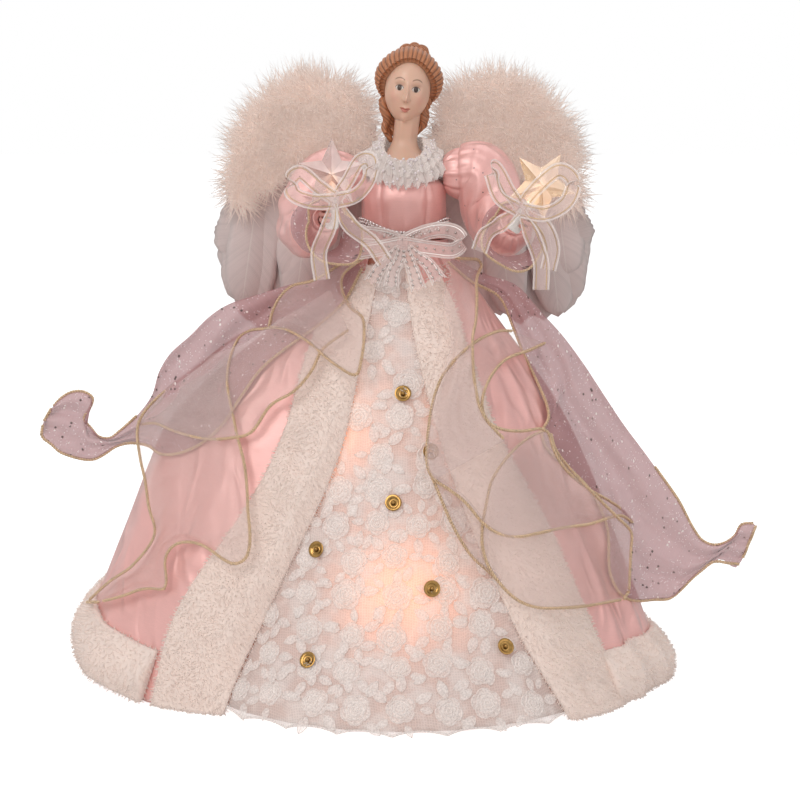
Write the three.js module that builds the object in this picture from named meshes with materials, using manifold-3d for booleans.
// Angel tree topper: a lit figure on a hollow cone that slips over the tip of a tree.
// Units are millimetres, +Z is up, the figure faces -Y, and +X is the figure's own left.
// A bearing is an angle in degrees about Z: 0 is the front, 90 is the figure's left.
import * as THREE from 'three';
import { mergeVertices } from 'three/addons/utils/BufferGeometryUtils.js';
import Module from 'manifold-3d';

const wasm = await Module();
wasm.setup();
const { Vector3 } = THREE;

// Running clearance between neighbouring pieces
const GAP = 0.3;
const OVERRUN = 1;

// Cone that goes over the tree tip
const CONE_HEIGHT = 232;
const CONE_FOOT_RADIUS = 89;
const CONE_TOP_RADIUS = 14;
const CONE_WALL = 1.6;
const CONE_BEAD_RADIUS = 92;
const CONE_BEAD_HEIGHT = 4;

// Lamps pushed through the cone wall
const LAMP_BULB_RADIUS = 2.7;
const LAMP_BULB_LENGTH = 13;
const LAMP_HUSK_RADIUS = 3.4;
const LAMP_HUSK_LENGTH = 11;
const LAMP_FLANGE_RADIUS = 5.2;
const LAMP_FLANGE = 1.4;
const LAMP_ROW_SHARES = [0.267, 0.595];
const LAMPS_PER_ROW = 4;
const LAMP_SEAT_CLEARANCE = 0.9;
const WIRE_RADIUS = 1.1;

// Skirts, hung at the waist
const WAIST_ABOVE_CONE = 14;
const WAIST_HEIGHT = CONE_HEIGHT + WAIST_ABOVE_CONE;
const WAIST_RADIUS = 20;
const HEM_RADIUS = 122;
const FLOOR_CLEARANCE = 0.8;
const CLOTH = 1.2;
const FLARE_LEFT = 20;
const FLARE_RIGHT = 64;
const HEM_LIFT = 26;
const FOLD_DEPTH = 5;
const FOLD_COUNT = 13;
const PANEL_WAVE = 0.9;
const PANEL_KICK = 8;
const SCALLOP_DEPTH = 2.6;
const SCALLOP_COUNT = 7;

// Plush trim
const FUR_BAND_WIDTH = 34;
const FUR_BAND_DEPTH = 7;
const FUR_HEM_WIDTH = 27;
const FUR_HEM_DEPTH = 9;
const FUR_SEAT = 2;

// Sequins on the lace
const SEQUIN_RADIUS = 4.4;
const SEQUIN_CUP = 1.5;
const SEQUIN_SHEET = 0.5;
const SEQUIN_BEAD_RADIUS = 1.3;
const SEQUIN_CLEARANCE = 0.75;

// Torso form and shoulders
const TORSO_HALF_WIDTH = 21.6;
const TORSO_HALF_DEPTH = 17;
const TORSO_LENGTH = 33;
const TORSO_TOP = WAIST_HEIGHT + TORSO_LENGTH;
const PLUG_LENGTH = 12;
const PLUG_FLANGE = 2.4;
const SHOULDER_ABOVE_TORSO = 3;
const SHOULDER_HEIGHT = TORSO_TOP + SHOULDER_ABOVE_TORSO;
const SHOULDER_BAR_RADIUS = 2.4;
const SHOULDER_BAR_REACH = 31;
const BAR_HEAD_RADIUS = 3.4;
const BAR_HEAD = 1.2;
const ARM_EYE_WALL = 1.8;
const ARM_EYE_LENGTH = 3.6;

// Collar, waist band and belt bow
const COLLAR_HALF_WIDTH = 25;
const COLLAR_HALF_DEPTH = 26;
const COLLAR_INNER_RADIUS = 10.5;
const COLLAR_DROP = 17;
const COLLAR_PLEATS = 16;
const COLLAR_PLEAT_DEPTH = 1.6;
const BAND_WIDTH = 4.6;
const BAND_THICKNESS = 1.4;
const BAND_RISE = 7;
const BELT_RIBBON_WIDTH = 11;
const BELT_KNOT_DEPTH = 4;
const BELT_LOOP_REACH = 28;
const BELT_TAIL_DROP = 26;
const RIBBON = 0.7;

// Head
const NECK_LENGTH = 31;
const HEAD_CENTRE_SIDE = 2;
const HEAD_CENTRE_DEPTH = -3;
const HEAD_HALF_WIDTH = 12.4;
const HEAD_HALF_DEPTH = 14;
const HEAD_HALF_HEIGHT = 18.4;
const HEAD_TILT = 5;
const NECK_RADIUS = 6.8;
const BUST_RISE = 15;
const BUST_TOP = SHOULDER_HEIGHT + BUST_RISE;
const HEAD_CENTRE_HEIGHT = BUST_TOP + NECK_LENGTH;
const BUST_RADIUS = 20;
const BUST_HEIGHT = 9;
const HAIR_THICKNESS = 3;
const HAIR_STRAND_DEPTH = 0.8;
const HAIR_STRANDS = 9;
const CURL_RADIUS = 4.1;
const CURL_THICKNESS = 2.5;
const RINGLET_RADIUS = 2.7;
const RINGLET_LENGTH = 20;
const HAIR_SEAT = 1.15;

// Arms, sleeves and hands
const ARM_REACH = 72;
const ARM_WIRE_RADIUS = 1.1;
const SLEEVE_PUFF_RADIUS = 15;
const SLEEVE_START_RADIUS = 9.8;
const SLEEVE_BORE_CLEARANCE = 2;
const SLEEVE_END_RADIUS = 7.6;
const SLEEVE_GATHERS = 7;
const SLEEVE_GATHER_DEPTH = 1.1;
const CUFF_RADIUS = 7.4;
const CUFF_LENGTH = 3;
const WRIST_RADIUS = 2.8;
const FRILL_FLARE = 5;
const FRILL_DROOP = 14;
const FRILL_WAVES = 7;
const FRILL_WAVE_DEPTH = 1.2;
const SOCKET_RADIUS = 3.6;
const SOCKET_LENGTH = 17;
const SOCKET_BORE_DEPTH = 8;
const HAND_BULB_RADIUS = 2.5;
const HAND_BULB_LENGTH = 22;
const FINGER_RADIUS = 1.45;
const FINGER_COUNT = 4;
const LAMP_LEFT_TILT = 32;
const STAR_RADIUS = 18.5;
const STAR_HALF_DEPTH = 6.4;
const STAR_NOTCH_SHARE = 0.47;
const STAR_NECK_WALL = 1.1;
const STAR_ABOVE_SOCKET = 11.5;
const BOW_RIBBON_WIDTH = 10;
const BOW_LOOP_REACH = 20;
const BOW_TAIL_LENGTH = 46;
const BOW_KNOT_RADIUS = 3.4;

// Wings
const WING_PLATE_THICKNESS = 2.4;
const WING_PLATE_HEIGHT = 19;
const WING_PIN_RADIUS = 1.5;
const WING_PIN_SPREAD = 9;
const WING_KNUCKLE_WALL = 1.5;
const WING_SWEEP = 7;
const WING_SPAN = 98;
const WING_RISE = 50;
const WING_FRAME_RADIUS = 1.1;
const FEATHER_LENGTH = 96;
const FEATHER_HALF_WIDTH = 12;
const FEATHER_THICKNESS = 1.5;
const MARABOU_HALF_WIDTH = 11;
const MARABOU_HALF_DEPTH = 6.5;

// Sheer drapes: their tips set the whole width
const HALF_SPAN = 203;
const SHEER = 0.9;
const DRAPE_WAVE = 1.4;
const DRAPE_CLEARANCE = 2;

const rad = THREE.MathUtils.degToRad;
const clamp = THREE.MathUtils.clamp;
const smooth = THREE.MathUtils.smoothstep;
const steps = (from, to, count) => Array.from({ length: count + 1 }, (_, i) => from + (to - from) * i / count);

// Solid making

function body(points, faces) {
  const rough = new THREE.BufferGeometry();
  rough.setAttribute('position', new THREE.Float32BufferAttribute(points.flatMap((p) => p.toArray()), 3));
  rough.setIndex(faces.flat());
  return tidy(rough);
}

// Merge shared vertices, drop faces with no area, and turn the faces out.
function tidy(rough) {
  const bare = new THREE.BufferGeometry();
  bare.setAttribute('position', rough.getAttribute('position').clone());
  if (rough.index) bare.setIndex(rough.index.clone());
  const merged = mergeVertices(bare, 1e-4);
  const at = merged.getAttribute('position');
  const index = merged.index.array;
  const kept = [];
  let volume = 0;
  const [a, b, c] = [new Vector3(), new Vector3(), new Vector3()];
  for (let i = 0; i < index.length; i += 3) {
    const [p, q, r] = [index[i], index[i + 1], index[i + 2]];
    if (p === q || q === r || r === p) continue;
    kept.push(p, q, r);
    a.fromBufferAttribute(at, p);
    b.fromBufferAttribute(at, q);
    c.fromBufferAttribute(at, r);
    volume += a.dot(b.cross(c));
  }
  if (volume < 0) {
    for (let i = 0; i < kept.length; i += 3) [kept[i], kept[i + 1]] = [kept[i + 1], kept[i]];
  }
  merged.setIndex(kept);
  return merged;
}

function toManifold(geometry) {
  const clean = tidy(geometry);
  return new wasm.Manifold(new wasm.Mesh({
    numProp: 3,
    vertProperties: new Float32Array(clean.getAttribute('position').array),
    triVerts: new Uint32Array(clean.index.array),
  }));
}

function fromManifold(solid) {
  const mesh = solid.getMesh();
  const geometry = new THREE.BufferGeometry();
  geometry.setAttribute('position', new THREE.Float32BufferAttribute(mesh.vertProperties, 3));
  geometry.setIndex(Array.from(mesh.triVerts));
  return geometry;
}

const join = (...parts) => fromManifold(parts.map(toManifold).reduce((whole, part) => whole.add(part)));
// Blades that overlap can shut in a hollow, so only the outer skin is kept.
const outerSkin = (geometry) => fromManifold(toManifold(geometry).decompose()
  .reduce((skin, piece) => (piece.volume() > skin.volume() ? piece : skin)));
const cut = (whole, ...tools) => fromManifold(tools.map(toManifold)
  .reduce((rest, tool) => rest.subtract(tool), toManifold(whole)));

// A closed sheet between an outer and an inner surface over a grid. With wrap, the last u meets the first.
function sheet(us, vs, outer, inner, wrap = false) {
  const points = [];
  const faces = [];
  for (const surface of [outer, inner]) {
    for (const u of us) for (const v of vs) points.push(surface(u, v));
  }
  const at = (side, i, j) => (side * us.length + i) * vs.length + j;
  const quad = (p, q, r, s) => faces.push([p, q, r], [p, r, s]);
  const top = vs.length - 1;
  const last = us.length - 1;
  for (let i = 0; i < (wrap ? us.length : last); i++) {
    const k = (i + 1) % us.length;
    for (let j = 0; j < top; j++) {
      quad(at(0, i, j), at(0, k, j), at(0, k, j + 1), at(0, i, j + 1));
      quad(at(1, i, j), at(1, i, j + 1), at(1, k, j + 1), at(1, k, j));
    }
    quad(at(0, i, 0), at(1, i, 0), at(1, k, 0), at(0, k, 0));
    quad(at(0, i, top), at(0, k, top), at(1, k, top), at(1, i, top));
  }
  for (let j = 0; !wrap && j < top; j++) {
    quad(at(0, 0, j), at(0, 0, j + 1), at(1, 0, j + 1), at(1, 0, j));
    quad(at(0, last, j), at(1, last, j), at(1, last, j + 1), at(0, last, j + 1));
  }
  return body(points, faces);
}

// A closed body through a row of closed outlines with equal numbers of points
function loft(rings) {
  const count = rings[0].length;
  const points = rings.flat();
  const faces = [];
  for (let i = 0; i < rings.length - 1; i++) {
    for (let j = 0; j < count; j++) {
      const [p, q] = [i * count + j, i * count + (j + 1) % count];
      faces.push([p, q, q + count], [p, q + count, p + count]);
    }
  }
  for (const end of [0, rings.length - 1]) {
    const middle = rings[end].reduce((sum, p) => sum.add(p), new Vector3()).divideScalar(count);
    points.push(middle);
    for (let j = 0; j < count; j++) {
      const [p, q] = [end * count + j, end * count + (j + 1) % count];
      faces.push(end === 0 ? [q, p, points.length - 1] : [p, q, points.length - 1]);
    }
  }
  return body(points, faces);
}

// The side and up directions that go with a curve's direction
function frameOn(curve, t, upward) {
  const side = new Vector3().crossVectors(curve.getTangent(t), upward).normalize();
  const up = new Vector3().crossVectors(side, curve.getTangent(t));
  return { place: curve.getPoint(t), side, up };
}

// A body along a curve. The outline gives [side, up] pairs for each share t of the curve.
function sweep(curve, count, outline, upward = new Vector3(0, 0, 1)) {
  return loft(steps(0, 1, count).map((t) => {
    const { place, side, up } = frameOn(curve, t, upward);
    return outline(t).map(([a, b]) => place.clone().addScaledVector(side, a).addScaledVector(up, b));
  }));
}

const round = (width, height = width, sides = 6) => steps(0, Math.PI * 2, sides).slice(0, sides)
  .map((angle) => [width * Math.cos(angle), height * Math.sin(angle)]);
const spline = (...places) => new THREE.CatmullRomCurve3(places.map((p) => new Vector3(...p)));

// A ribbon along a path: its width lies along the given direction.
function ribbon(path, width, across, count = 8, taperShare = 1) {
  const half = RIBBON / 2;
  const outline = (t) => {
    const reach = width / 2 * (taperShare + (1 - taperShare) * Math.min(1, 2 * t, 2 * (1 - t) + taperShare));
    return [[half, -reach], [half, reach], [-half, reach], [-half, -reach]];
  };
  return sweep(path, count, outline, across);
}

// A revolve about Z of [radius, height] pairs
function turned(profile, segments = 16) {
  const geometry = new THREE.LatheGeometry(profile.map(([r, z]) => new THREE.Vector2(r, z)), segments);
  return tidy(geometry.rotateX(Math.PI / 2));
}

function drum(radius, from, to, segments = 12) {
  return turned([[0, from], [radius, from], [radius, to], [0, to]], segments);
}

// The model

const angel = new THREE.Group();
const satin = { color: 0xe8a3ad, roughness: 0.4, metalness: 0 };
const paleCloth = { color: 0xf5e9e4, roughness: 0.8, metalness: 0 };
const plush = { color: 0xf7f0e8, roughness: 1, metalness: 0 };
const skin = { color: 0xe9bfa6, roughness: 0.5, metalness: 0 };
const metal = { color: 0x9a9a98, roughness: 0.4, metalness: 0.9 };

function add(name, geometry, finish, parent = angel) {
  const mesh = new THREE.Mesh(geometry, new THREE.MeshStandardMaterial(finish));
  mesh.name = name;
  parent.add(mesh);
  return mesh;
}

// Skirt surfaces, as radii over bearing and height. Every layer bends at the same rows, so none cuts another.
const ROW_SHARES = [0, 0.07, 0.2, 0.36, 0.54, 0.72, 0.88, 1];
const ROW_HEIGHTS = ROW_SHARES.map((share) => share * WAIST_HEIGHT);

function byRows(anyHeight, valueAt) {
  const height = clamp(anyHeight, 0, WAIST_HEIGHT);
  const next = Math.max(1, ROW_HEIGHTS.findIndex((row) => row >= height));
  const [low, high] = [ROW_HEIGHTS[next - 1], ROW_HEIGHTS[next]];
  const share = clamp((height - low) / (high - low), 0, 1);
  return valueAt(low) * (1 - share) + valueAt(high) * share;
}

const fallAt = (height) => clamp((WAIST_HEIGHT - height) / WAIST_HEIGHT, 0, 1);
const skirtRadius = (height) => byRows(height,
  (row) => WAIST_RADIUS + (HEM_RADIUS - WAIST_RADIUS) * fallAt(row) ** 0.9);

// The overskirt stands out at both sides, more so on the figure's right.
const FLARE_TABLE = [
  [0, 0], [45, 0.3 * FLARE_LEFT], [90, FLARE_LEFT], [135, 0.4 * FLARE_LEFT], [180, 0],
  [225, 0.3 * FLARE_RIGHT], [270, FLARE_RIGHT], [318, 0.1 * FLARE_RIGHT], [360, 0],
];
function flare(bearing) {
  const turn = THREE.MathUtils.euclideanModulo(bearing, 360);
  const next = Math.max(1, FLARE_TABLE.findIndex(([key]) => key >= turn));
  const [[from, low], [to, high]] = [FLARE_TABLE[next - 1], FLARE_TABLE[next]];
  return low + (high - low) * smooth(turn, from, to);
}

function overskirtRadius(bearing, height) {
  return skirtRadius(height) + GAP + CLOTH + flare(bearing) * byRows(height, (row) => smooth(fallAt(row), 0, 0.46));
}

// Folds open from nothing at the waist and fade towards the opening's two edges.
function foldReach(bearing, height) {
  const turn = THREE.MathUtils.euclideanModulo(bearing, 360);
  const fade = smooth(turn, 58, 85) * (1 - smooth(turn, 262, 286));
  return FOLD_DEPTH * fade * byRows(height, (row) => smooth(fallAt(row), 0.05, 0.6));
}

const foldDepth = (bearing, height) => foldReach(bearing, height) * (1 + Math.cos(rad(bearing * FOLD_COUNT))) / 2;

function hemLift(bearing) {
  const turn = THREE.MathUtils.euclideanModulo(-bearing, 360);
  return HEM_LIFT * smooth(turn, 62, 100) * (1 - smooth(turn, 120, 175));
}

function around(bearing, radius, height) {
  return new Vector3(radius * Math.sin(rad(bearing)), -radius * Math.cos(rad(bearing)), height);
}

// Bearings of the lace panel's two edges: it widens on its way down, and more to the left.
const PANEL_RIGHT_LOW = -46;
const PANEL_RIGHT_HIGH = -26;
const PANEL_LEFT_LOW = 41;
const PANEL_LEFT_HIGH = -2;
const panelRightEdge = (height) => PANEL_RIGHT_LOW
  + (PANEL_RIGHT_HIGH - PANEL_RIGHT_LOW) * smooth(height, 0.1 * WAIST_HEIGHT, 0.65 * WAIST_HEIGHT);
const panelLeftEdge = (height) => PANEL_LEFT_LOW + (PANEL_LEFT_HIGH - PANEL_LEFT_LOW) * height / WAIST_HEIGHT;
const widthAsBearing = (width, height) => width / rad(skirtRadius(height));

const furBandWidth = (height) => FUR_BAND_WIDTH * byRows(height, (row) => 0.7 + 0.3 * smooth(fallAt(row), 0, 0.8));

// Cone and lamps

const coneRadius = (height) => CONE_FOOT_RADIUS + (CONE_TOP_RADIUS - CONE_FOOT_RADIUS) * height / CONE_HEIGHT;
const coneSlope = Math.atan((CONE_FOOT_RADIUS - CONE_TOP_RADIUS) / CONE_HEIGHT);

// Where a lamp's flange meets the inside of the wall, and the way it points
function lampSeat(row, place) {
  const bearing = (place + row / 2) * 360 / LAMPS_PER_ROW;
  const height = LAMP_ROW_SHARES[row] * CONE_HEIGHT;
  const out = around(bearing, Math.cos(coneSlope), Math.sin(coneSlope));
  const seat = around(bearing, coneRadius(height), height).addScaledVector(out, -CONE_WALL - LAMP_SEAT_CLEARANCE);
  return { bearing, height, out, seat };
}

const lampSeats = LAMP_ROW_SHARES.flatMap((_, row) => steps(0, LAMPS_PER_ROW - 1, LAMPS_PER_ROW - 1)
  .map((place) => lampSeat(row, place)));

function pointAlong(geometry, out, seat) {
  const turn = new THREE.Quaternion().setFromUnitVectors(new Vector3(0, 0, 1), out);
  return geometry.applyQuaternion(turn).translate(...seat.toArray());
}

function makeCone() {
  const wall = CONE_WALL / Math.cos(coneSlope);
  const shell = turned([
    [CONE_FOOT_RADIUS - wall, 0], [CONE_BEAD_RADIUS, 0], [CONE_BEAD_RADIUS, CONE_BEAD_HEIGHT],
    [coneRadius(CONE_BEAD_HEIGHT), CONE_BEAD_HEIGHT], [CONE_TOP_RADIUS, CONE_HEIGHT],
    [CONE_TOP_RADIUS - wall, CONE_HEIGHT], [CONE_FOOT_RADIUS - wall, 0],
  ], 24);
  const holes = lampSeats.map(({ out, seat }) => pointAlong(
    drum(LAMP_HUSK_RADIUS + 3 * GAP, -OVERRUN, CONE_WALL + LAMP_SEAT_CLEARANCE + OVERRUN, 6), out, seat));
  add('base_cone', cut(shell, ...holes), { color: 0xf2ede4, roughness: 0.5, metalness: 0 });
}

function makeLamps() {
  const through = CONE_WALL + LAMP_SEAT_CLEARANCE + GAP;
  const profile = [
    [0, -LAMP_FLANGE - LAMP_HUSK_LENGTH], [0.7 * LAMP_HUSK_RADIUS, -LAMP_FLANGE - LAMP_HUSK_LENGTH],
    [LAMP_HUSK_RADIUS, -LAMP_FLANGE], [LAMP_FLANGE_RADIUS, -LAMP_FLANGE], [LAMP_FLANGE_RADIUS, 0],
    [LAMP_HUSK_RADIUS, 0], [LAMP_HUSK_RADIUS, through], [LAMP_BULB_RADIUS, through + OVERRUN],
    [LAMP_BULB_RADIUS, through + 0.6 * LAMP_BULB_LENGTH], [0, through + LAMP_BULB_LENGTH],
  ];
  lampSeats.forEach(({ out, seat }, i) => {
    add(`skirt_lamp_${i + 1}`, pointAlong(turned(profile, 6), out, seat),
      { color: 0xffe2a8, roughness: 0.2, metalness: 0, emissive: 0xff9a3c });
  });
}

// The wire runs behind the lower lamps, climbs, runs behind the upper ones and ends under the torso plug.
function makeLightString() {
  const setBack = LAMP_FLANGE + LAMP_HUSK_LENGTH + GAP + WIRE_RADIUS;
  const behind = ({ bearing, height, out, seat }) => ({
    bearing, height: height - setBack * out.z, radius: Math.hypot(seat.x, seat.y) - setBack * Math.cos(coneSlope),
  });
  const [low, high] = [behind(lampSeats[0]), behind(lampSeats[LAMPS_PER_ROW])];
  const stops = steps(0, 585, 13).map((bearing) => {
    const level = bearing < 300 ? low : high;
    return around(bearing, level.radius, level.height);
  });
  const plugEnd = CONE_HEIGHT + GAP - PLUG_LENGTH;
  stops.push(around(640, 0.55 * high.radius, (high.height + plugEnd) / 2));
  stops.push(new Vector3(0, 0, plugEnd - 2 * PLUG_LENGTH / 3));
  stops.push(new Vector3(0, 0, plugEnd - GAP));
  const path = new THREE.CatmullRomCurve3(stops);
  add('light_string_wire', sweep(path, 50, () => round(WIRE_RADIUS, WIRE_RADIUS, 5), new Vector3(0.05, 0.02, 1)),
    { color: 0x2f6b3c, roughness: 0.5, metalness: 0 });
}

// Skirts

function makePetticoat() {
  const heights = [FLOOR_CLEARANCE, ...ROW_HEIGHTS.slice(1)];
  const surface = (inset) => (bearing, height) => around(bearing, skirtRadius(height) - inset, height);
  add('petticoat', sheet(ringBearings(22), heights, surface(0), surface(CLOTH), true),
    { color: 0xf6cdb8, roughness: 0.6, metalness: 0 });
}

function panelRadius(bearing, height) {
  const kick = PANEL_KICK * byRows(height, (row) => 1 - smooth(row, 0, 0.2 * WAIST_HEIGHT));
  const wave = PANEL_WAVE * byRows(height, (row) => smooth(fallAt(row), 0, 0.5)) * (1 + Math.cos(rad(bearing * 12)));
  return skirtRadius(height) + GAP + CLOTH + kick + wave;
}

function makeLacePanel() {
  const surface = (inset) => (across, fall) => {
    const low = FLOOR_CLEARANCE + SCALLOP_DEPTH * Math.abs(Math.cos(Math.PI * SCALLOP_COUNT * across)) ** 0.7;
    const height = Math.max(low, fall * WAIST_HEIGHT);
    const left = panelLeftEdge(height);
    const right = panelRightEdge(height);
    const bearing = right + (left - right) * across;
    return around(bearing, panelRadius(bearing, height) - inset, height);
  };
  add('lace_panel', sheet(steps(0, 1, 2 * SCALLOP_COUNT), ROW_SHARES, surface(0), surface(CLOTH)), paleCloth);
}

const OVERSKIRT_COLUMNS = steps(0, 1, 42);

// The overskirt's edges lie under the middle of the plush bands.
const overskirtLeftEdge = (height) => panelLeftEdge(height) + 0.3 * widthAsBearing(furBandWidth(height), height);
const overskirtRightEdge = (height) => 360 + panelRightEdge(height)
  - 0.3 * widthAsBearing(furBandWidth(height), height);

function makeOverskirt() {
  const surface = (inset) => (across, fall) => {
    const middle = 40 + (310 - 40) * across;
    const lowest = FLOOR_CLEARANCE + GAP + hemLift(middle);
    const height = Math.max(lowest + fall * OVERRUN, fall * WAIST_HEIGHT);
    const [left, right] = [overskirtLeftEdge(height), overskirtRightEdge(height)];
    const bearing = left + (right - left) * across;
    return around(bearing, overskirtRadius(bearing, height) + foldDepth(bearing, height) - inset, height);
  };
  add('satin_overskirt', sheet(OVERSKIRT_COLUMNS, ROW_SHARES, surface(0), surface(CLOTH)), satin);
}

function overAll(bearing, height) {
  return Math.max(overskirtRadius(bearing, height), panelRadius(bearing, height));
}

// A plush band that covers the seam between the lace and the satin
function makeFurBand(name, edge, sign) {
  const heights = [FLOOR_CLEARANCE, ...ROW_HEIGHTS.slice(1, -1), WAIST_HEIGHT - FUR_BAND_WIDTH / 2];
  const bearingAt = (across, height) => edge(height) + sign * across * widthAsBearing(furBandWidth(height), height);
  const surface = (thick) => (across, height) => {
    const bearing = bearingAt(across, height);
    const full = 0.15 + 0.85 * smooth(fallAt(height), 0.05, 0.3);
    const swell = FUR_BAND_DEPTH * full * (0.3 + 0.7 * Math.sqrt(Math.max(0, 1 - (2 * across - 1) ** 2)));
    const seat = overAll(bearing, height) + foldReach(bearing, height) + FUR_SEAT;
    return around(bearing, seat + thick * swell, height);
  };
  add(name, sheet([0, 0.14, 0.38, 0.62, 0.86, 1], heights, surface(1), surface(0)), plush);
}

// The hem band starts where the two edge bands end.
function makeFurHem() {
  const clear = 2 * GAP;
  const lowRows = steps(0, FUR_HEM_WIDTH + HEM_LIFT, 6);
  const start = Math.max(...lowRows.map((row) => panelLeftEdge(row) + widthAsBearing(furBandWidth(row) + clear, row)));
  const end = 360 + Math.min(...lowRows.map((row) => panelRightEdge(row) - widthAsBearing(furBandWidth(row) + clear, row)));
  const surface = (thick) => (bearing, rise) => {
    const height = FLOOR_CLEARANCE + hemLift(bearing) + FUR_HEM_WIDTH * rise;
    const swell = FUR_HEM_DEPTH * (0.3 + 0.7 * Math.sin(Math.PI * clamp(rise, 0.05, 0.95)));
    const radius = overskirtRadius(bearing, height) + foldDepth(bearing, height) + FUR_SEAT;
    return around(bearing, radius + thick * swell, height);
  };
  const [left, right] = [overskirtLeftEdge(0), overskirtRightEdge(0)];
  const columns = OVERSKIRT_COLUMNS.map((across) => left + (right - left) * across);
  const bearings = [start, ...columns.filter((bearing) => bearing > start + 1 && bearing < end - 1), end];
  add('fur_hem', sheet(bearings, [0, 0.3, 0.7, 1], surface(1), surface(0)), plush);
}

// Places of the seven sequins: bearing, and height as a share of the waist's
const SEQUIN_SHARES = [
  [-0.5, 0.677], [11, 0.557], [-3.75, 0.455], [-29.5, 0.352], [8.25, 0.283], [-25.5, 0.134], [27.75, 0.159],
];

function makeSequins() {
  const hub = 0.25 * SEQUIN_RADIUS;
  const profile = [
    [0, 0], [hub, 0], [SEQUIN_RADIUS, SEQUIN_CUP], [SEQUIN_RADIUS, SEQUIN_CUP + SEQUIN_SHEET],
    [hub, SEQUIN_SHEET], [SEQUIN_BEAD_RADIUS, SEQUIN_SHEET + SEQUIN_BEAD_RADIUS],
    [0, SEQUIN_SHEET + 2 * SEQUIN_BEAD_RADIUS],
  ];
  SEQUIN_SHARES.forEach(([bearing, heightShare], i) => {
    const height = heightShare * WAIST_HEIGHT;
    const onLace = (turn, rise) => around(bearing + turn, panelRadius(bearing + turn, height + rise), height + rise);
    const spread = widthAsBearing(SEQUIN_RADIUS, height);
    const across = onLace(spread, 0).sub(onLace(-spread, 0));
    const out = across.cross(onLace(0, SEQUIN_RADIUS).sub(onLace(0, -SEQUIN_RADIUS))).normalize();
    const seat = onLace(0, 0).addScaledVector(out, SEQUIN_CLEARANCE);
    add(`sequin_${i + 1}`, pointAlong(turned(profile, 7), out, seat),
      { color: 0xa8792a, roughness: 0.25, metalness: 1 });
  });
}

// Torso, bodice and trim

const oval = (bearing, width, depth, height) => new Vector3(
  width * Math.sin(rad(bearing)), -depth * Math.cos(rad(bearing)), height);
const ringBearings = (count) => steps(0, 360, count).slice(0, count);

// The torso's half width at each height, as a share of its widest
const torsoShare = (height) => 0.95 + 0.05 * smooth(height, WAIST_HEIGHT, (WAIST_HEIGHT + TORSO_TOP) / 2);
const bodiceStart = WAIST_HEIGHT + GAP;

function makeTorso() {
  const plug = CONE_TOP_RADIUS - CONE_WALL - 3 * GAP;
  const seat = CONE_HEIGHT + GAP;
  const neck = WAIST_RADIUS - CLOTH - 2 * GAP;
  const root = turned([
    [0, seat - PLUG_LENGTH], [plug, seat - PLUG_LENGTH], [plug, seat], [CONE_TOP_RADIUS, seat],
    [CONE_TOP_RADIUS, seat + PLUG_FLANGE], [neck - 2 * OVERRUN, WAIST_HEIGHT - 2 * PLUG_FLANGE],
    [neck, WAIST_HEIGHT - PLUG_FLANGE], [neck, bodiceStart], [0, bodiceStart],
  ], 18);
  const rings = steps(bodiceStart - OVERRUN / 4, TORSO_TOP, 2).map((height) => ringBearings(18).map((bearing) => oval(
    bearing, (TORSO_HALF_WIDTH - CLOTH - GAP) * torsoShare(height), TORSO_HALF_DEPTH * torsoShare(height), height)));
  const bar = drum(SHOULDER_BAR_RADIUS, -SHOULDER_BAR_REACH, SHOULDER_BAR_REACH, 8);
  const barHeads = [-1, 1].map((side) => drum(BAR_HEAD_RADIUS, side * (SHOULDER_BAR_REACH - BAR_HEAD),
    side * SHOULDER_BAR_REACH, 8));
  const block = drum(0.75 * TORSO_HALF_DEPTH, TORSO_TOP - OVERRUN, SHOULDER_HEIGHT + SHOULDER_BAR_RADIUS, 12);
  const across = join(bar, ...barHeads).rotateY(Math.PI / 2).translate(0, 0, SHOULDER_HEIGHT);
  add('torso_core', join(root, loft(rings), block, across), { color: 0xe9e4dc, roughness: 0.8, metalness: 0 });
}

// The bodice's top edge dips at the sides, under the shoulder bar.
function makeBodice() {
  const armhole = SHOULDER_HEIGHT - SHOULDER_BAR_RADIUS - 2 * OVERRUN;
  const surface = (thick) => (bearing, rise) => {
    const side = Math.abs(Math.sin(rad(bearing)));
    const top = TORSO_TOP + (armhole - TORSO_TOP) * smooth(side, 0.7, 0.95);
    const height = bodiceStart + (top - bodiceStart) * rise;
    const seam = 0.5 * GAP * thick * Math.cos(rad(bearing * 6));
    const grow = thick * CLOTH + seam;
    const share = torsoShare(height);
    const width = (TORSO_HALF_WIDTH - CLOTH) * share + grow;
    return oval(bearing, width, TORSO_HALF_DEPTH * share + GAP + grow, height);
  };
  add('bodice', sheet(ringBearings(24), steps(0, 1, 3), surface(1), surface(0), true), satin);
}

const bodiceHalfDepth = (height) => TORSO_HALF_DEPTH * torsoShare(height) + 2 * GAP + CLOTH;

function makeWaistBand() {
  const surface = (thick, grown) => (bearing, rise) => {
    const turn = Math.abs(THREE.MathUtils.euclideanModulo(bearing + 180, 360) - 180);
    const height = bodiceStart + BAND_RISE * smooth(turn, 0, 70) + BAND_WIDTH * rise;
    const share = torsoShare(height);
    const out = 2 * GAP + CLOTH + thick;
    return oval(bearing, (TORSO_HALF_WIDTH - CLOTH) * share + out + grown, TORSO_HALF_DEPTH * share + out + GAP, height);
  };
  add('waist_band', sheet(ringBearings(24), [0, 1], surface(BAND_THICKNESS, 0), surface(0, 0), true),
    { color: 0xc9c3c0, roughness: 0.3, metalness: 0.7 });
}

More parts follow.
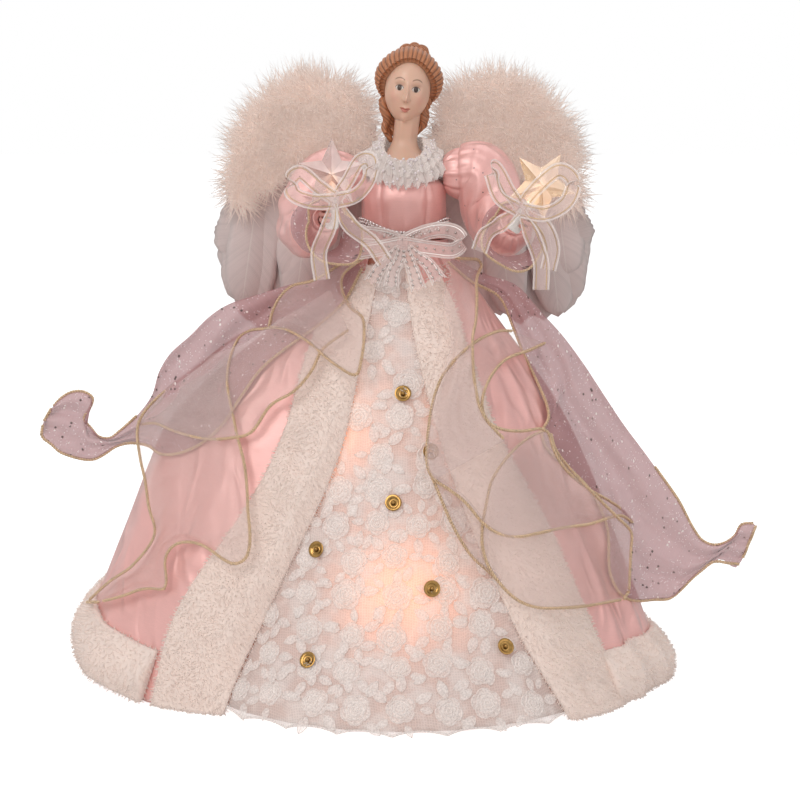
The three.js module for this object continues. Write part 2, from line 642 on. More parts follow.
function makeBeltBow() {
  const knotDepth = BELT_KNOT_DEPTH;
  const knotHeight = WAIST_HEIGHT + BAND_WIDTH / 2;
  const front = -Math.max(bodiceHalfDepth(WAIST_HEIGHT) + BAND_THICKNESS, panelRadius(0, knotHeight - knotDepth));
  const middle = front - 0.4 * knotDepth;
  const reach = BELT_LOOP_REACH;
  const half = BELT_RIBBON_WIDTH / 2;
  const up = new Vector3(0, 0, 1);
  const parts = [new THREE.SphereGeometry(knotDepth, 6, 4).scale(1, knotDepth / 2 / knotDepth, 1.2)
    .translate(0, middle, knotHeight)];
  for (const side of [-1, 1]) {
    const loop = spline([0, middle, knotHeight], [side * 0.45 * reach, middle, knotHeight + 0.5 * knotDepth],
      [side * 0.9 * reach, middle + 0.25 * knotDepth, knotHeight + 0.25 * knotDepth],
      [side * reach, middle - 0.25 * knotDepth, knotHeight], [side * 0.8 * reach, middle - 0.75 * knotDepth, knotHeight],
      [side * 0.4 * reach, middle - 0.75 * knotDepth, knotHeight + 0.25 * knotDepth],
      [0, middle - 0.25 * knotDepth, knotHeight]);
    parts.push(ribbon(loop, BELT_RIBBON_WIDTH, up, 8, 0.5));
    for (const [run, swing] of [[0.5, 1], [0.16, 0.8]]) {
      const drop = BELT_TAIL_DROP * swing;
      const tail = spline([0, middle, knotHeight], [side * run * 0.5 * reach, middle - knotDepth, knotHeight - 0.4 * drop],
        [side * run * reach, middle - 4 * knotDepth, knotHeight - drop]);
      parts.push(ribbon(tail, half * 1.5, new Vector3(1, 0, side * run), 3, 0.6));
    }
  }
  add('belt_bow', join(...parts), paleCloth);
}

// The shoulder plate, whose surface the collar follows
function bustHeight(radius) {
  return BUST_TOP - BUST_HEIGHT * smooth(radius, NECK_RADIUS, BUST_RADIUS);
}

function makeCollar() {
  const surface = (lift) => (bearing, out) => {
    const width = COLLAR_INNER_RADIUS + (COLLAR_HALF_WIDTH - COLLAR_INNER_RADIUS) * out;
    const depth = COLLAR_INNER_RADIUS + (COLLAR_HALF_DEPTH - COLLAR_INNER_RADIUS) * out;
    const pleat = COLLAR_PLEAT_DEPTH * out * (1 + Math.cos(rad(bearing * COLLAR_PLEATS))) / 2;
    const fall = COLLAR_DROP * out ** 2.4 * (0.75 + 0.25 * Math.cos(rad(bearing)));
    return oval(bearing, width, depth, BUST_TOP - 3 * GAP - fall + pleat + lift * CLOTH);
  };
  add('lace_collar', sheet(ringBearings(COLLAR_PLEATS * 2), [0, 0.55, 1], surface(1), surface(0), true), paleCloth);
}

// Head

// Bumps on the face: bearing, elevation, height in millimetres as a share of the head's half width, and spread
const FACE_SHARES = [
  [0, -6, 0.25, 7, 9], [0, 8, 0.07, 6, 12], [24, 5, -0.09, 11, 7], [-24, 5, -0.09, 11, 7],
  [0, 20, 0.05, 40, 10], [34, -14, 0.06, 13, 11], [-34, -14, 0.06, 13, 11], [0, -27, 0.1, 13, 5],
  [0, -50, 0.1, 14, 10], [0, -37, -0.05, 13, 4],
];

function headSurface(grow) {
  return (bearing, elevation) => {
    const jaw = 1 - 0.2 * smooth(-elevation, 5, 75);
    const relief = FACE_SHARES.reduce((sum, [b, e, share, width, height]) => sum
      + share * Math.exp(-(((bearing - b) / width) ** 2) - ((elevation - e) / height) ** 2), 0);
    const level = Math.cos(rad(elevation));
    const point = new Vector3(
      HEAD_HALF_WIDTH * jaw * level * Math.sin(rad(bearing)),
      -HEAD_HALF_DEPTH * level * Math.cos(rad(bearing)),
      HEAD_HALF_HEIGHT * Math.sin(rad(elevation)));
    const length = point.length();
    return point.multiplyScalar((length + grow + relief * HEAD_HALF_WIDTH) / length);
  };
}

function headSolid(grow, columns = 20, rows = 12) {
  const surface = headSurface(grow);
  const bearings = steps(-180, 180, columns).slice(0, columns);
  const rings = steps(-85, 85, rows).map((elevation) => bearings.map((bearing) => surface(bearing, elevation)));
  return loft(rings);
}

// The head's own frame: its middle, tilted to the figure's left
const headPlace = new Vector3(HEAD_CENTRE_SIDE, HEAD_CENTRE_DEPTH, HEAD_CENTRE_HEIGHT);
const placeHead = (geometry) => geometry.rotateY(rad(HEAD_TILT)).translate(...headPlace.toArray());

function neckSolid(grow) {
  const bottom = BUST_TOP - OVERRUN;
  const path = spline([0, 0, bottom], [0.3 * HEAD_CENTRE_SIDE, 0, (bottom + HEAD_CENTRE_HEIGHT) / 2],
    [HEAD_CENTRE_SIDE, HEAD_CENTRE_DEPTH / 2, HEAD_CENTRE_HEIGHT - HEAD_HALF_HEIGHT / 3]);
  return sweep(path, 3, (t) => round((NECK_RADIUS + grow) * (1.12 - 0.2 * Math.sin(Math.PI * t)),
    NECK_RADIUS + grow, 12), new Vector3(0, 1, 0));
}

function makeHead() {
  const seat = SHOULDER_HEIGHT + SHOULDER_BAR_RADIUS + GAP;
  const rims = [[1, seat], [1, BUST_TOP - BUST_HEIGHT], [0.85, bustHeight(0.85 * BUST_RADIUS)],
    [0.6, bustHeight(0.6 * BUST_RADIUS)], [0.38, BUST_TOP + OVERRUN / 2]];
  const plate = loft(rims.map(([share, height]) => ringBearings(16).map((bearing) => oval(
    bearing, BUST_RADIUS * share, 0.8 * BUST_RADIUS * share, height))));
  add('head_and_shoulders', join(placeHead(headSolid(0)), neckSolid(0), plate), skin);
}

// The hair is a cap over the skull with combed strands, two curls on top and a ringlet on each side.
function makeHair() {
  const back = new Vector3(0, Math.cos(rad(32)), Math.sin(rad(32)));
  const down = new Vector3(0, Math.sin(rad(32)), -Math.cos(rad(32)));
  const side = new Vector3(1, 0, 0);
  const skull = headSurface(HAIR_SEAT);
  const rimAngle = (turn) => 84 + 14 * Math.cos(rad(turn)) - 8 * Math.cos(rad(2 * turn)) * Math.cos(rad(turn)) ** 2;
  const surface = (thick) => (turn, share) => {
    const away = rad(rimAngle(turn) * share);
    const rim = new Vector3().addScaledVector(down, -Math.cos(rad(turn))).addScaledVector(side, Math.sin(rad(turn)));
    const way = back.clone().multiplyScalar(Math.cos(away)).addScaledVector(rim, Math.sin(away));
    const reach = Math.hypot(way.x / HEAD_HALF_WIDTH, way.y / HEAD_HALF_DEPTH, way.z / HEAD_HALF_HEIGHT);
    const bearing = THREE.MathUtils.radToDeg(Math.atan2(way.x / HEAD_HALF_WIDTH, -way.y / HEAD_HALF_DEPTH));
    const elevation = THREE.MathUtils.radToDeg(Math.asin(clamp(way.z / HEAD_HALF_HEIGHT / reach, -1, 1)));
    const point = skull(bearing, elevation);
    const strand = HAIR_STRAND_DEPTH * Math.cos(rad(turn * HAIR_STRANDS)) * share;
    const lock = HAIR_THICKNESS * (1 - 0.45 * smooth(share, 0.8, 1)) + strand;
    return point.multiplyScalar((point.length() + thick * lock) / point.length());
  };
  const turns = ringBearings(HAIR_STRANDS * 2);
  const cap = sheet(turns, [0, 0.3, 0.62, 0.86, 1], surface(1), surface(0), true);
  const crown = HEAD_HALF_HEIGHT + HAIR_THICKNESS + 0.6 * CURL_THICKNESS;
  const curls = [[-0.55, 0.1, -0.15], [0.75, 0.35, 0]].map(([x, y, z]) => new THREE.TorusGeometry(
    CURL_RADIUS, CURL_THICKNESS, 5, 9).rotateX(rad(62)).rotateY(rad(-14 * Math.sign(x)))
    .translate(x * 1.6 * CURL_RADIUS, y * CURL_RADIUS, crown + (z + 0.5) * CURL_RADIUS - CURL_THICKNESS));
  const hearts = [-0.55, 0.75].map((x) => new THREE.SphereGeometry(0.7 * CURL_RADIUS, 6, 4)
    .translate(x * 1.6 * CURL_RADIUS, 0.2 * CURL_RADIUS, crown - 0.3 * CURL_RADIUS));
  const ringlets = [-1, 1].map((hand) => {
    const top = [hand * 0.8 * HEAD_HALF_WIDTH, 0.62 * HEAD_HALF_DEPTH, -0.2 * HEAD_HALF_HEIGHT];
    const [x, y, z] = top;
    const path = spline(top, [x + hand * 0.55 * RINGLET_RADIUS, y - 0.2 * RINGLET_RADIUS, z - 0.5 * RINGLET_LENGTH],
      [x * 0.95, y - 0.55 * RINGLET_RADIUS, z - RINGLET_LENGTH]);
    return sweep(path, 8, (t) => round(RINGLET_RADIUS * (1 + 0.2 * Math.cos(t * 8 * Math.PI)) * (1 - 0.5 * t ** 4),
      RINGLET_RADIUS, 5), new Vector3(0, 1, 0));
  });
  const extras = cut(join(...curls, ...hearts, ...ringlets), headSolid(HAIR_SEAT));
  const whole = placeHead(join(cap, extras));
  add('hair', whole,
    { color: 0x8a4a2c, roughness: 0.5, metalness: 0 });
}

// Arms

// Each arm's path from the shoulder bar to the wrist, and where its lamp stands: across, back and up from the
// middle of the shoulders, as shares of the arm's reach. The lamp's tilt is to the side.
const ARMS = {
  right: {
    side: -1, lampTilt: 0, lampShares: [-0.521, -0.917, -0.251],
    pathShares: [[-0.603, -0.027, -0.07], [-0.74, -0.133, -0.329], [-0.697, -0.392, -0.411]],
  },
  left: {
    side: 1, lampTilt: LAMP_LEFT_TILT, lampShares: [0.854, -0.917, -0.286],
    pathShares: [[0.587, -0.027, 0.004], [0.697, -0.102, -0.274], [0.76, -0.345, -0.411]],
  },
};

const inShoulders = (shares) => new Vector3(...shares).multiplyScalar(ARM_REACH).add(new Vector3(0, 0, SHOULDER_HEIGHT));

function makeArm(name, { side, lampTilt, lampShares, pathShares }) {
  const eyeMiddle = SHOULDER_BAR_REACH - BAR_HEAD - GAP - ARM_EYE_LENGTH / 2;
  const eyeRadius = SHOULDER_BAR_RADIUS + GAP + ARM_EYE_WALL;
  const lamp = inShoulders(lampShares);
  const tilt = new THREE.Matrix4().makeRotationY(rad(lampTilt)).setPosition(lamp);
  const inHand = (x, y, z) => new Vector3(x, y, z).applyMatrix4(tilt);
  const hold = (geometry) => geometry.applyMatrix4(tilt);

  // The hand's frame: the socket's axis is Z, the palm lies behind it at +Y.
  const grip = SOCKET_RADIUS + 2 * GAP + FINGER_RADIUS;
  const wristEnd = inHand(0, grip + 4 * FINGER_RADIUS, -FINGER_RADIUS);
  const elbow = pathShares.map(inShoulders);
  const start = new Vector3(side * (eyeMiddle + ARM_EYE_LENGTH / 2), 0, SHOULDER_HEIGHT);
  const outset = start.clone().add(new Vector3(side * OVERRUN, 0, 0));
  const path = new THREE.CatmullRomCurve3([outset, ...elbow, wristEnd], false, 'chordal');

  // Sleeve, cuff and frill share the path: shares of its length where each begins and ends
  const sleeveEnd = 0.86;
  const wireEnd = 0.985;
  const cuffEnd = sleeveEnd + (CUFF_LENGTH + GAP) / path.getLength();
  const section = (t, angle, width, height = width) => {
    const { place, side: across, up } = frameOn(path, t, new Vector3(0.2 * side, 0, 1));
    return place.addScaledVector(across, width * Math.cos(angle)).addScaledVector(up, height * Math.sin(angle));
  };
  const angles = (count) => steps(0, Math.PI * 2, count).slice(0, count);

  // Bendable wire with an eye round the shoulder bar
  const eye = turned([
    [SHOULDER_BAR_RADIUS + GAP, -ARM_EYE_LENGTH / 2], [eyeRadius, -ARM_EYE_LENGTH / 2],
    [eyeRadius, ARM_EYE_LENGTH / 2], [SHOULDER_BAR_RADIUS + GAP, ARM_EYE_LENGTH / 2],
    [SHOULDER_BAR_RADIUS + GAP, -ARM_EYE_LENGTH / 2],
  ], 10).rotateY(Math.PI / 2).translate(side * eyeMiddle, 0, SHOULDER_HEIGHT);
  const clearOfHead = BAR_HEAD_RADIUS + 2 * GAP + ARM_WIRE_RADIUS;
  const hook = new THREE.CatmullRomCurve3([
    new Vector3(side * eyeMiddle, 0, SHOULDER_HEIGHT - eyeRadius + ARM_EYE_WALL / 2),
    new Vector3(side * (eyeMiddle + clearOfHead), -OVERRUN / 4, SHOULDER_HEIGHT - clearOfHead),
    path.getPoint(0.14), ...[0.25, 0.36, 0.48, 0.6, 0.72, 0.84].map((t) => path.getPoint(t)),
    path.getPoint(0.93), path.getPoint(wireEnd),
  ]);
  const wire = sweep(hook, 15, () => round(ARM_WIRE_RADIUS, ARM_WIRE_RADIUS, 5), new Vector3(0.2 * side, 0, 1));
  add(`arm_wire_${name}`, join(eye, wire), metal);

  // Puff sleeve, round the shoulder at its inner end
  const puff = (t) => {
    const swell = Math.sin(Math.PI * clamp(t / sleeveEnd, 0, 1) ** 0.8) ** 0.75;
    const base = SLEEVE_START_RADIUS + (SLEEVE_END_RADIUS - SLEEVE_START_RADIUS) * t / sleeveEnd;
    return base + (SLEEVE_PUFF_RADIUS - base) * swell;
  };
  const bore = (t) => ARM_WIRE_RADIUS + SLEEVE_BORE_CLEARANCE + (clearOfHead - SLEEVE_BORE_CLEARANCE + 2 * GAP) * (1 - smooth(t, 0.1, 0.22));
  const gather = (angle, t) => SLEEVE_GATHER_DEPTH * Math.cos(SLEEVE_GATHERS * angle)
    * (1 - smooth(t, 0, 0.35) + smooth(t, 0.5, sleeveEnd));
  const sleeveStations = steps(0, sleeveEnd, 7);
  const sleeve = sheet(angles(SLEEVE_GATHERS * 2), sleeveStations,
    (angle, t) => section(t, angle, puff(t) + gather(angle, t)),
    (angle, t) => section(t, angle, Math.min(bore(t), puff(t) - 2 * CLOTH)), true);
  add(`puff_sleeve_${name}`, sleeve, satin);

  const cuffStart = sleeveEnd + GAP / path.getLength();
  add(`sleeve_cuff_${name}`, sheet(angles(12), [cuffStart, cuffEnd],
    (angle, t) => section(t, angle, CUFF_RADIUS, 0.8 * CUFF_RADIUS),
    (angle, t) => section(t, angle, WRIST_RADIUS + 2 * GAP), true), satin);

  // Sheer frill round the end of the sleeve, longer on its lower side
  const frillStart = sleeveStations[6];
  const frill = (inset) => (angle, out) => {
    const t = frillStart + (cuffEnd - frillStart) * out;
    const low = Math.max(0, -Math.sin(angle));
    const wave = FRILL_WAVE_DEPTH * (0.4 + 0.6 * low) * out * (1 + Math.cos(FRILL_WAVES * angle)) / 2;
    const grow = (FRILL_FLARE * (0.15 + 0.35 * low) + FRILL_DROOP * low) * out ** 1.2;
    return section(t, angle, puff(Math.min(t, sleeveEnd)) + SLEEVE_GATHER_DEPTH + 3 * GAP + SHEER + grow + wave - inset);
  };
  add(`organza_oversleeve_${name}`, sheet(angles(FRILL_WAVES * 2), [0, 0.5, 1], frill(0), frill(SHEER), true),
    { color: 0xd9b3bb, roughness: 0.6, metalness: 0.1 });

  // Hand: palm, four fingers round the socket, thumb and wrist
  const palm = new THREE.SphereGeometry(1, 8, 6).scale(2.6 * FINGER_RADIUS, 2 * FINGER_RADIUS, 4.4 * FINGER_RADIUS)
    .translate(0, grip + 1.2 * FINGER_RADIUS, 0);
  const fingerPath = (from, to, rise, lean) => new THREE.CatmullRomCurve3(steps(from, to, 4)
    .map((angle, i) => new Vector3(grip * Math.cos(rad(angle)), grip * Math.sin(rad(angle)), rise + lean * i)));
  const fingers = steps(0, FINGER_COUNT - 1, FINGER_COUNT - 1).map((i) => sweep(
    fingerPath(90, 90 - side * 175, (i - 1.5) * 2.05 * FINGER_RADIUS, 0), 5,
    (t) => round(FINGER_RADIUS * (1.05 - 0.3 * t), FINGER_RADIUS, 5)));
  const thumb = sweep(fingerPath(90, 90 + side * 120, 1.5 * FINGER_RADIUS, 0.6), 3,
    (t) => round(FINGER_RADIUS * (1.2 - 0.35 * t), FINGER_RADIUS, 5));
  const wristPath = new THREE.CatmullRomCurve3([0.87, 0.92, 0.97].map((t) => path.getPoint(t))
    .concat(wristEnd, inHand(0, grip + FINGER_RADIUS, 0)));
  const wrist = sweep(wristPath, 4, () => round(WRIST_RADIUS, WRIST_RADIUS, 7), new Vector3(0.2 * side, 0, 1));
  const wristBore = new THREE.CatmullRomCurve3([0.84, 0.89, 0.94, wireEnd].map((t) => path.getPoint(t)));
  const wristHole = sweep(wristBore, 4, () => round(ARM_WIRE_RADIUS + 2 * GAP, ARM_WIRE_RADIUS + 2 * GAP, 5), new Vector3(0.2 * side, 0, 1));
  const endHole = new THREE.SphereGeometry(ARM_WIRE_RADIUS + 2 * GAP, 5, 4).translate(...path.getPoint(wireEnd).toArray());
  const handSolid = join(hold(join(palm, ...fingers, thumb)), wrist);
  add(`hand_${name}`, cut(handSolid, wristHole, endHole), skin);

  // Socket, bulb and star cap, all about the socket's axis
  const socketBase = -0.55 * SOCKET_LENGTH;
  const socketTop = socketBase + SOCKET_LENGTH;
  const boreRadius = HAND_BULB_RADIUS - 2 * GAP;
  add(`lamp_socket_${name}`, hold(turned([
    [0, socketBase], [0.75 * SOCKET_RADIUS, socketBase], [SOCKET_RADIUS, socketBase + OVERRUN],
    [SOCKET_RADIUS, socketTop], [boreRadius, socketTop], [boreRadius, socketTop - SOCKET_BORE_DEPTH],
    [0, socketTop - SOCKET_BORE_DEPTH],
  ], 12)), { color: 0xf6f4ee, roughness: 0.4, metalness: 0 });
  const bulbFoot = socketTop - SOCKET_BORE_DEPTH + GAP;
  add(`hand_bulb_${name}`, hold(turned([
    [0, bulbFoot], [boreRadius - GAP, bulbFoot], [boreRadius - GAP, socketTop + GAP],
    [HAND_BULB_RADIUS, socketTop + GAP], [HAND_BULB_RADIUS, bulbFoot + 0.75 * HAND_BULB_LENGTH],
    [0, bulbFoot + HAND_BULB_LENGTH],
  ], 10)), { color: 0xfff0c8, roughness: 0.1, metalness: 0, emissive: 0xffb050 });

  // Five points with a ridge to each tip and a valley to each notch, bored from below for the bulb
  const starMiddle = socketTop + STAR_ABOVE_SOCKET;
  const starRing = steps(0, 10, 10).slice(0, 10).map((i) => {
    const reach = i % 2 === 0 ? STAR_RADIUS : STAR_NOTCH_SHARE * STAR_RADIUS;
    const turn = rad(90 + 36 * i);
    return new Vector3(reach * Math.cos(turn), 0, starMiddle + reach * Math.sin(turn));
  });
  const starPoints = [...starRing, new Vector3(0, -STAR_HALF_DEPTH, starMiddle), new Vector3(0, STAR_HALF_DEPTH, starMiddle)];
  const starFaces = starRing.flatMap((_, i) => [[i, (i + 1) % 10, 10], [(i + 1) % 10, i, 11]]);
  const capBore = HAND_BULB_RADIUS + GAP;
  const neckTop = starMiddle - 0.35 * STAR_NOTCH_SHARE * STAR_RADIUS;
  const neck = drum(capBore + STAR_NECK_WALL, socketTop + GAP, neckTop, 12);
  const boreTop = bulbFoot + HAND_BULB_LENGTH + 2 * GAP;
  const capHole = turned([[0, socketTop - OVERRUN], [capBore, socketTop - OVERRUN],
    [capBore, bulbFoot + 0.75 * HAND_BULB_LENGTH + GAP], [GAP, boreTop], [0, boreTop]], 12);
  add(`star_cap_${name}`, hold(cut(join(body(starPoints, starFaces), neck), capHole)),
    { color: 0xf7e3df, roughness: 0.05, metalness: 0, transparent: true, opacity: 0.5 });

  // Ribbon bow in front of the fingers
  const knot = BOW_KNOT_RADIUS;
  const knotY = -grip - FINGER_RADIUS - GAP - 0.5 * knot;
  const reach = BOW_LOOP_REACH;
  const upright = new Vector3(0, 0, 1);
  const bits = [new THREE.SphereGeometry(knot, 6, 4).scale(1, 0.8, 1.1).translate(0, knotY, 0)];
  for (const hand of [-1, 1]) {
    const lift = hand * side > 0 ? 0.25 : 0.7;
    const loop = spline([0, knotY, 0], [hand * 0.5 * reach, knotY + 0.3 * knot, 0.4 * lift * reach],
      [hand * reach, knotY - 0.3 * knot, lift * reach], [hand * 1.05 * reach, knotY - 1.2 * knot, lift * reach],
      [hand * 0.8 * reach, knotY - 2.05 * knot, 0.8 * lift * reach],
      [hand * 0.35 * reach, knotY - 1.5 * knot, 0.3 * lift * reach], [0, knotY - 0.3 * knot, 0]);
    bits.push(ribbon(loop, BOW_RIBBON_WIDTH, upright, 8, 0.5));
    const tail = spline([0, knotY, 0], [hand * 0.25 * reach, knotY - 1.2 * knot, -0.3 * BOW_TAIL_LENGTH],
      [hand * 0.35 * reach - 0.1 * reach, knotY - 0.9 * knot, -0.65 * BOW_TAIL_LENGTH],
      [hand * 0.75 * reach, knotY - 1.5 * knot, -BOW_TAIL_LENGTH * (hand === side ? 1 : 0.82)]);
    bits.push(ribbon(tail, 0.9 * BOW_RIBBON_WIDTH, new Vector3(1, 0, 0), 4, 0.5));
  }
  const bow = join(...bits).translate(lamp.x, lamp.y, lamp.z);
  add(`hand_bow_${name}`, bow, { color: 0xefe4d6, roughness: 0.6, metalness: 0.1 });
}

// Wings

const pinDepth = WING_PIN_RADIUS + GAP + WING_KNUCKLE_WALL;
const bracketBack = bodiceHalfDepth(TORSO_TOP) + GAP;
const wingPinY = bracketBack + WING_PLATE_THICKNESS + pinDepth + GAP;
const bracketLow = TORSO_TOP - WING_PLATE_HEIGHT;

function makeWingBracket() {
  const width = 2 * (WING_PIN_SPREAD + pinDepth);
  const plate = new THREE.BoxGeometry(width, WING_PLATE_THICKNESS, WING_PLATE_HEIGHT)
    .translate(0, bracketBack + WING_PLATE_THICKNESS / 2, bracketLow + WING_PLATE_HEIGHT / 2);
  const lugs = [-1, 1].flatMap((side) => [0, 1].map((end) => new THREE.BoxGeometry(
    2 * pinDepth, pinDepth * 2 + GAP, WING_PLATE_THICKNESS).translate(side * WING_PIN_SPREAD,
    wingPinY - GAP, bracketLow + WING_PLATE_THICKNESS / 2 + end * (WING_PLATE_HEIGHT - WING_PLATE_THICKNESS))));
  const pins = [-1, 1].map((side) => drum(WING_PIN_RADIUS, bracketLow, bracketLow + WING_PLATE_HEIGHT, 10)
    .translate(side * WING_PIN_SPREAD, wingPinY, 0));
  add('wing_bracket', join(plate, ...lugs, ...pins), { color: 0xe7e2da, roughness: 0.5, metalness: 0 });
}

// Wing outline, in its own plane: out from the pin and up from the shoulders, as shares of span and rise
const WING_ARC_SHARES = [[0.24, 0.62], [0.34, 0.86], [0.52, 0.94], [0.72, 0.78], [0.88, 0.36], [0.96, -0.3]];
const FEATHER_TIP_SHARES = [
  [0.42, -1.22], [0.53, -1.45], [0.66, -1.62], [0.8, -1.7], [0.93, -1.64], [1.0, -1.25], [1.03, -0.8],
];

function makeWing(name, side) {
  const sweepTurn = new THREE.Matrix4().makeRotationZ(rad(side * WING_SWEEP));
  const pin = new Vector3(side * WING_PIN_SPREAD, wingPinY, 0);
  const put = (geometry) => geometry.applyMatrix4(sweepTurn).translate(pin.x, pin.y, pin.z);
  const place = (out, up, depth = 0) => new Vector3(
    side * (out * WING_SPAN - WING_PIN_SPREAD), depth, TORSO_TOP + up * WING_RISE);
  const across = new Vector3(0, 1, 0);

  // Wire frame behind the feathers, on a knuckle round the pin
  const wireDepth = FEATHER_THICKNESS + GAP + WING_FRAME_RADIUS;
  const knuckleTop = TORSO_TOP - WING_PLATE_THICKNESS - GAP;
  const knuckleLow = bracketLow + WING_PLATE_THICKNESS + GAP;
  const pinBore = WING_PIN_RADIUS + GAP;
  const knuckle = turned([[pinBore, knuckleLow], [pinDepth, knuckleLow], [pinDepth, knuckleTop],
    [pinBore, knuckleTop], [pinBore, knuckleLow]], 10);
  const root = new Vector3(side * (pinDepth - WING_KNUCKLE_WALL / 2), 0, (knuckleTop + knuckleLow) / 2);
  const arm = new THREE.CatmullRomCurve3([root, new Vector3(side * 2.5 * pinDepth, wireDepth, root.z + OVERRUN),
    ...WING_ARC_SHARES.slice(1).map(([out, up]) => place(out - 0.03, up - 0.16, wireDepth))]);
  add(`wing_frame_${name}`, put(join(knuckle, sweep(arm, 12, () => round(WING_FRAME_RADIUS, WING_FRAME_RADIUS, 5), across))), metal);

  // Feathers: long ones from the arc to the tips, with shorter ones in front
  const arc = new THREE.CatmullRomCurve3(WING_ARC_SHARES.map(([out, up]) => place(out - 0.02, up - 0.14)));
  const tips = new THREE.CatmullRomCurve3(FEATHER_TIP_SHARES.map(([out, up]) => place(out, up)));
  const blade = (from, to, halfWidth, depth) => {
    const along = new THREE.LineCurve3(from, to);
    return sweep(along, 4, (t) => {
      const width = halfWidth * (0.3 + 0.7 * Math.sin(Math.PI * t ** 0.85) ** 0.5);
      const thick = FEATHER_THICKNESS / 2 * (1 - 0.6 * t);
      return [[width, depth], [0, depth + thick], [-width, depth], [0, depth - thick]];
    }, across);
  };
  const longCount = 6;
  const feathers = steps(0, 1, longCount - 1).map((t, i) => blade(arc.getPoint(t), tips.getPoint(t),
    FEATHER_HALF_WIDTH, (i % 2 - 0.5) * 0.3 * FEATHER_THICKNESS));
  const shortCount = 3;
  for (const t of steps(0.05, 0.9, shortCount - 1)) {
    const from = arc.getPoint(t);
    const to = from.clone().lerp(tips.getPoint(t), 0.52);
    feathers.push(blade(from, to, 0.95 * FEATHER_HALF_WIDTH, -0.45 * FEATHER_THICKNESS));
  }
  const quill = sweep(arc, 7, () => round(0.8 * FEATHER_THICKNESS, 0.8 * FEATHER_THICKNESS, 4), across);
  add(`wing_feathers_${name}`, put(outerSkin(join(quill, ...feathers))), { color: 0xf3e6e4, roughness: 0.8, metalness: 0 });

  // Marabou in front of the roots and along the upper edge
  const fluffDepth = -0.5 * FEATHER_THICKNESS - 0.82 * MARABOU_HALF_DEPTH;
  const edge = new THREE.CatmullRomCurve3(WING_ARC_SHARES.map(([out, up]) => place(out, up, fluffDepth)));
  const fluff = (t) => {
    const bump = 1 + 0.08 * Math.cos(t * 10 * Math.PI);
    const ends = 0.45 + 0.55 * Math.sin(Math.PI * clamp(t, 0.05, 0.95)) ** 0.6;
    return round(MARABOU_HALF_WIDTH * bump * ends, MARABOU_HALF_DEPTH * ends, 8);
  };
  add(`wing_marabou_${name}`, put(sweep(edge, 13, fluff, across)), plush);
}

// Sheer drapes

// Rows run from the waist to the far end, each from its upper or outer edge to the other edge. A place is a
// bearing, a height as a share of the waist's, and a share of the way out from the skirt to the half span.
const DRAPE_TABLES = {
  glitter_drape_left: {
    flip: 1, lift: 1, shares: [
      [[112, 0.95, 0], [104, 0.95, 0], [94, 0.95, 0]],
      [[92, 0.88, 0.14], [84, 0.87, 0.1], [74, 0.85, 0.07]],
      [[88, 0.81, 0.19], [83, 0.76, 0.11], [72, 0.7, 0.07]],
      [[87, 0.71, 0.22], [80, 0.64, 0.1], [62, 0.57, 0.07]],
      [[86, 0.61, 0.26], [82, 0.53, 0.12], [72, 0.46, 0.07]],
      [[85, 0.5, 0.34], [83, 0.41, 0.18], [74, 0.33, 0.08]],
      [[85, 0.4, 0.47], [83, 0.3, 0.26], [75, 0.21, 0.1]],
      [[84, 0.32, 0.6], [84, 0.26, 0.48], [82, 0.2, 0.35]],
      [[90, 0.35, 1], [86, 0.32, 0.94], [84, 0.28, 0.86]],
    ],
  },
  glitter_drape_right: {
    flip: -1, lift: 1, shares: [
      [[124, 0.95, 0], [115, 0.95, 0], [106, 0.95, 0]],
      [[97, 0.88, 0.12], [86, 0.86, 0.12], [72, 0.83, 0.11]],
      [[91, 0.86, 0.24], [86, 0.81, 0.13], [66, 0.76, 0.1]],
      [[90, 0.8, 0.31], [86, 0.73, 0.12], [68, 0.67, 0.08]],
      [[90, 0.72, 0.33], [83, 0.65, 0.1], [70, 0.58, 0.07]],
      [[89, 0.62, 0.25], [85, 0.57, 0.12], [77, 0.53, 0.11]],
      [[88, 0.56, 0.44], [87, 0.54, 0.37], [86, 0.52, 0.3]],
      [[89, 0.62, 0.65], [88, 0.56, 0.63], [87, 0.5, 0.62]],
      [[90, 0.62, 0.96], [90, 0.6, 1], [88, 0.57, 0.97]],
    ],
  },
  front_drape_right: {
    flip: -1, lift: 0, shares: [
      [[94, 0.95, 0], [87, 0.95, 0], [79, 0.95, 0]],
      [[70, 0.86, 0.01], [50, 0.85, 0.02], [30, 0.83, 0.02]],
      [[86, 0.79, 0.03], [56, 0.77, 0.02], [26, 0.75, 0.01]],
      [[86, 0.7, 0.03], [66, 0.68, 0.02], [50, 0.64, 0.02]],
      [[88, 0.6, 0.05], [74, 0.56, 0.02], [55, 0.53, 0.02]],
      [[86, 0.5, 0.06], [70, 0.46, 0.02], [50, 0.41, 0.02]],
      [[79, 0.37, 0.03], [68, 0.36, 0.02], [54, 0.33, 0.02]],
      [[88, 0.19, 0.1], [76, 0.24, 0.05], [56, 0.27, 0.02]],
    ],
  },
  front_drape_left: {
    flip: 1, lift: 0, shares: [
      [[72, 0.95, 0], [64, 0.95, 0], [56, 0.95, 0]],
      [[64, 0.86, 0.02], [50, 0.84, 0.02], [36, 0.82, 0.02]],
      [[68, 0.76, 0.02], [46, 0.74, 0.02], [22, 0.72, 0.02]],
      [[58, 0.63, 0.02], [36, 0.61, 0.02], [11, 0.59, 0.02]],
      [[64, 0.52, 0.02], [42, 0.5, 0.02], [14, 0.48, 0.01]],
      [[74, 0.42, 0.02], [50, 0.4, 0.02], [24, 0.37, 0.01]],
      [[80, 0.3, 0.03], [58, 0.29, 0.02], [36, 0.27, 0.01]],
      [[78, 0.21, 0.03], [66, 0.22, 0.02], [52, 0.23, 0.02]],
    ],
  },
};

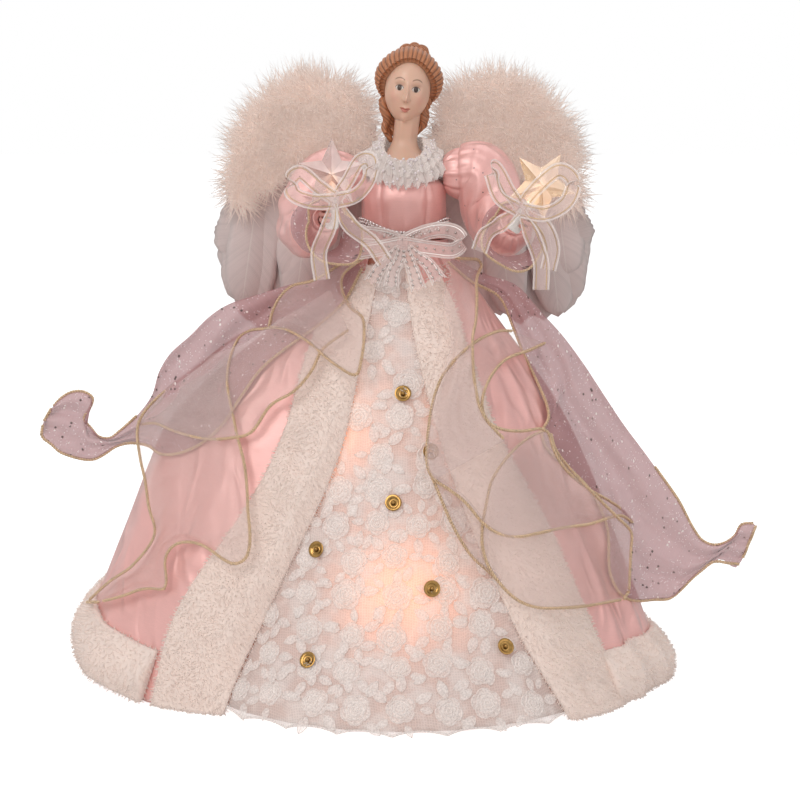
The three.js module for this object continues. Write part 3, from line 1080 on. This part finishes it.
// How far the plush lifts a drape off the skirt
function plushRise(bearing, height) {
  const turn = THREE.MathUtils.euclideanModulo(bearing + 180, 360) - 180;
  const width = furBandWidth(height);
  const span = widthAsBearing(width, height);
  const over = (across) => smooth(across, -0.4, 0) * (1 - smooth(across, 1, 1.4));
  const band = Math.max(over((turn - panelLeftEdge(height)) / span), over((panelRightEdge(height) - turn) / span));
  const hem = 1 - smooth(height - hemLift(bearing), FUR_HEM_WIDTH, 1.5 * FUR_HEM_WIDTH);
  return Math.max(band * (FUR_SEAT + FUR_BAND_DEPTH * width / FUR_BAND_WIDTH), hem * (FUR_SEAT + FUR_HEM_DEPTH));
}

function makeDrape(name, { flip, lift, shares }) {
  const finish = lift ? { color: 0xc99aa6, roughness: 0.5, metalness: 0.2 } : paleCloth;
  const rows = shares.map((row) => new THREE.CatmullRomCurve3(row.map((p) => new Vector3(...p))));
  const place = (along, across) => {
    const column = new THREE.CatmullRomCurve3(rows.map((row) => row.getPoint(across)));
    const { x, y, z } = column.getPoint(along);
    const height = y * WAIST_HEIGHT;
    const bearing = flip * x;
    const near = smooth(WAIST_HEIGHT * 0.94 - height, 0, 0.08 * WAIST_HEIGHT);
    const wave = DRAPE_WAVE * near * (1 + Math.cos(along * 9 + across * 14));
    const clear = GAP + SHEER + near * DRAPE_CLEARANCE + plushRise(bearing, height);
    const inner = overAll(bearing, height) + foldReach(bearing, height) + clear;
    return around(bearing, inner + wave * (1 - clamp(2 * z, 0, 1)) + Math.max(0, z) * (HALF_SPAN - inner), height);
  };
  const delta = 0.01;
  const surface = (thick) => (along, across) => {
    const [a, b] = [clamp(along, delta, 1 - delta), clamp(across, delta, 1 - delta)];
    const lengthwise = place(a + delta, b).sub(place(a - delta, b));
    const crosswise = place(a, b + delta).sub(place(a, b - delta));
    const normal = lengthwise.cross(crosswise).normalize();
    return place(along, across).addScaledVector(normal, thick * SHEER / 2);
  };
  add(name, sheet(steps(0, 1, 14), steps(0, 1, 4), surface(1), surface(-1)), finish);
}

makeCone();
makeLamps();
makeLightString();
makePetticoat();
makeLacePanel();
makeOverskirt();
makeFurBand('fur_band_left', panelLeftEdge, 1);
makeFurBand('fur_band_right', panelRightEdge, -1);
makeFurHem();
makeSequins();
makeTorso();
makeBodice();
makeWaistBand();
makeBeltBow();
makeCollar();
makeHead();
makeHair();
makeWingBracket();
for (const [name, arm] of Object.entries(ARMS)) makeArm(name, arm);
makeWing('right', -1);
makeWing('left', 1);
for (const [name, table] of Object.entries(DRAPE_TABLES)) makeDrape(name, table);

export default angel;
